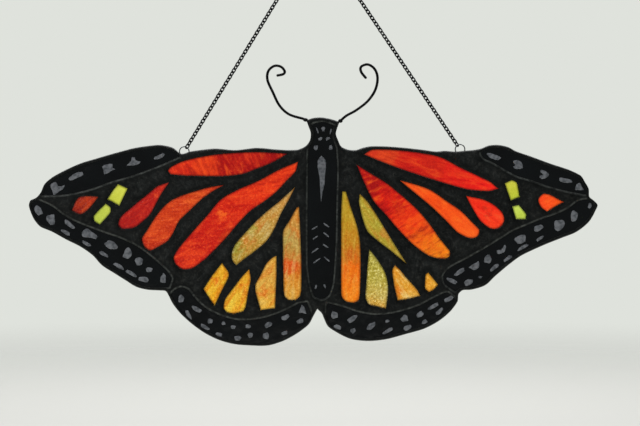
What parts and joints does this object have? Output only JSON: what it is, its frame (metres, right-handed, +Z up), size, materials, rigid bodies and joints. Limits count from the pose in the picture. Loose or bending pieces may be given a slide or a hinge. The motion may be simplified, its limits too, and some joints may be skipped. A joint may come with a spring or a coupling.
{
  "type": "stained glass butterfly suncatcher",
  "caption": "Flat copper-foil stained glass panel in the shape of a monarch butterfly with open wings, wire antennae and two chains that rise to one hanging ring.",
  "frame": {"origin": "centre of the hanging ring that both chains meet at", "axes": "+X to the right along the wingspan, +Y away from the viewer through the glass, +Z up"},
  "size_m": [0.3825, 0.0054, 0.2836],
  "materials": {
    "crimson_glass": "streaky hand-rolled, glossy",
    "red_glass": "streaky hand-rolled, glossy",
    "orange_glass": "streaky hand-rolled, glossy",
    "lime_glass": "mottled, glossy",
    "amber_glass": "mottled with small seeds, glossy",
    "olive_gold_glass": "mottled with small seeds, glossy",
    "black_glass": "opaque black, glossy, with grey enamel spots",
    "solder": "hand-run bead with a black patina",
    "black_wire": "satin black",
    "ring_wire": "dull grey",
    "chain_steel": "darkened"
  },
  "bodies": {
    "root": {"left_forewing_top_red_glass": "crimson_glass", "left_forewing_crimson_glass": "crimson_glass", "left_forewing_tip_red_glass": "crimson_glass", "left_forewing_orange_red_glass": "red_glass", "left_forewing_long_red_glass": "red_glass", "right_forewing_top_red_glass": "red_glass", "right_forewing_long_red_glass": "red_glass", "right_forewing_small_red_glass": "red_glass", "right_forewing_orange_glass": "orange_glass", "right_forewing_tip_orange_glass": "orange_glass", "left_forewing_upper_lime_glass": "lime_glass", "left_forewing_lower_lime_glass": "lime_glass", "right_forewing_upper_lime_glass": "lime_glass", "right_forewing_lower_lime_glass": "lime_glass", "left_hindwing_inner_gold_glass": "amber_glass", "left_hindwing_outer_amber_glass": "amber_glass", "left_hindwing_middle_amber_glass": "amber_glass", "left_hindwing_inner_amber_glass": "amber_glass", "right_hindwing_inner_gold_glass": "amber_glass", "right_hindwing_orange_glass": "amber_glass", "right_hindwing_small_amber_glass": "amber_glass", "left_hindwing_gold_leaf_glass": "olive_gold_glass", "right_hindwing_narrow_olive_glass": "olive_gold_glass", "right_hindwing_olive_glass": "olive_gold_glass", "left_forewing_top_border_glass": "black_glass", "left_forewing_side_border_glass": "black_glass", "left_hindwing_border_glass": "black_glass", "right_hindwing_border_glass": "black_glass", "right_forewing_side_border_glass": "black_glass", "right_forewing_top_border_glass": "black_glass", "body_glass": "black_glass", "solder_web": "solder", "left_antenna": "black_wire", "right_antenna": "black_wire", "left_wing_ring": "ring_wire", "right_wing_ring": "ring_wire", "hanging_ring": "ring_wire", "left_chain": "chain_steel", "right_chain": "chain_steel"}
  },
  "joints": []
}
